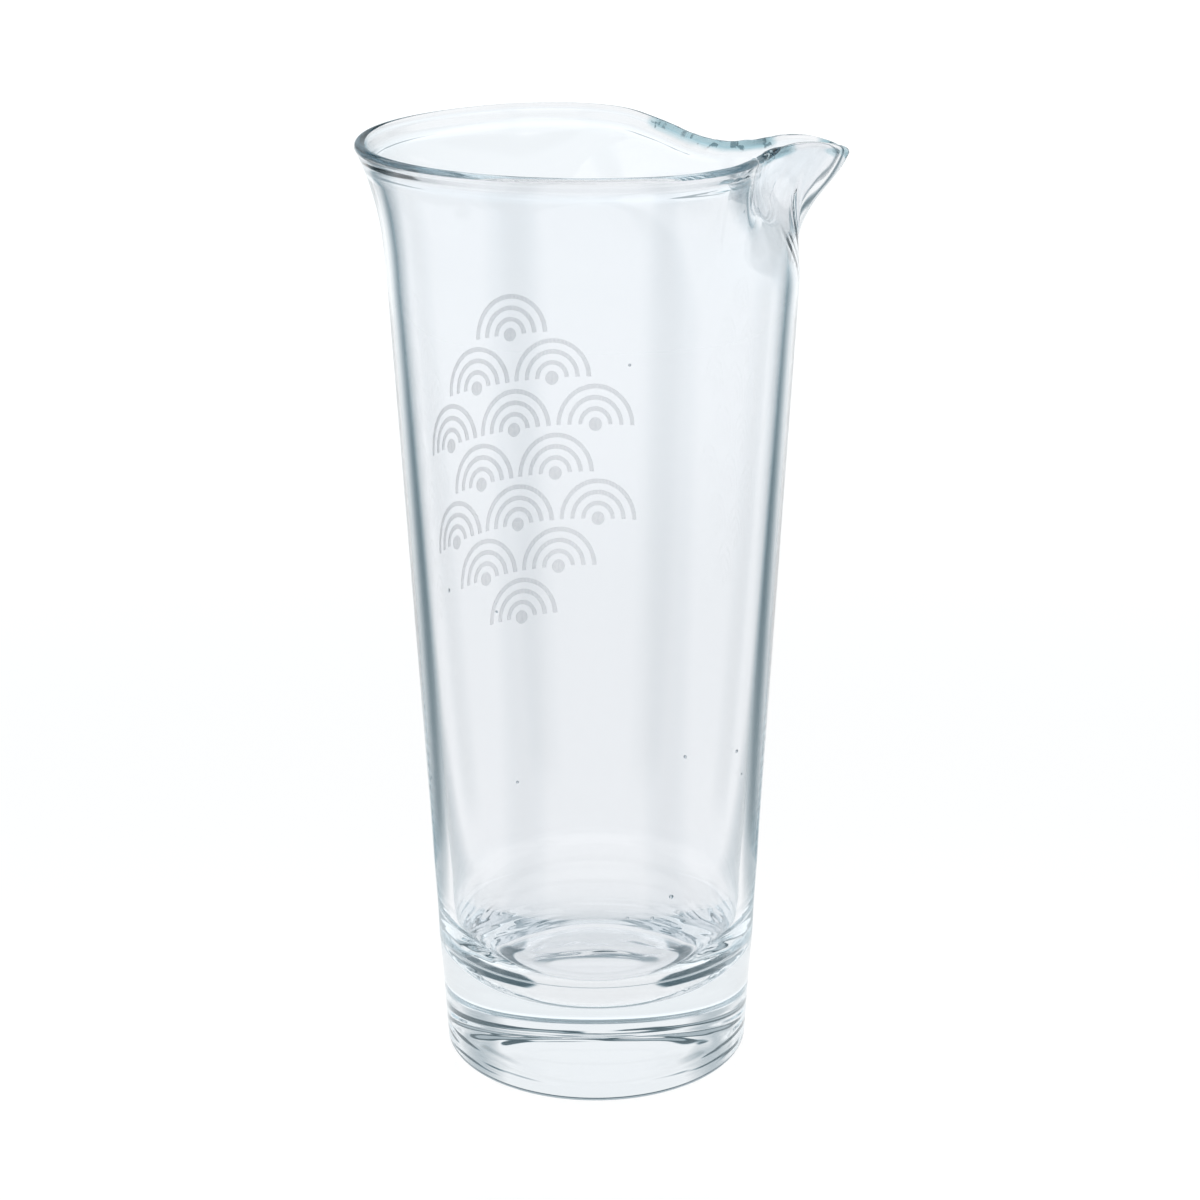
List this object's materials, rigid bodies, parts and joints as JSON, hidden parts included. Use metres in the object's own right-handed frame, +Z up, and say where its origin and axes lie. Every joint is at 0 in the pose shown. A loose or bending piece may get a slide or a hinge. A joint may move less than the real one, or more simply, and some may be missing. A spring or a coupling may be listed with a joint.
{
  "type": "cocktail pitcher",
  "caption": "Tall handleless glass mixing pitcher with a heavy base, flared rim, pinched pouring spout and a fired fan pattern.",
  "frame": {"origin": "on the table, on the axis of the round body, at the centre of the flat ring that the pitcher stands on", "axes": "+Z up along the axis of the body, +X towards the pouring spout"},
  "size_m": [0.1245, 0.1144, 0.24],
  "materials": {
    "glass": "clear, fire-polished, with a faint blue-green tint in the thick base",
    "enamel": "pale grey fired enamel, matt"
  },
  "bodies": {
    "root": {"glass_body": "glass", "fired_pattern": "enamel"}
  },
  "joints": []
}
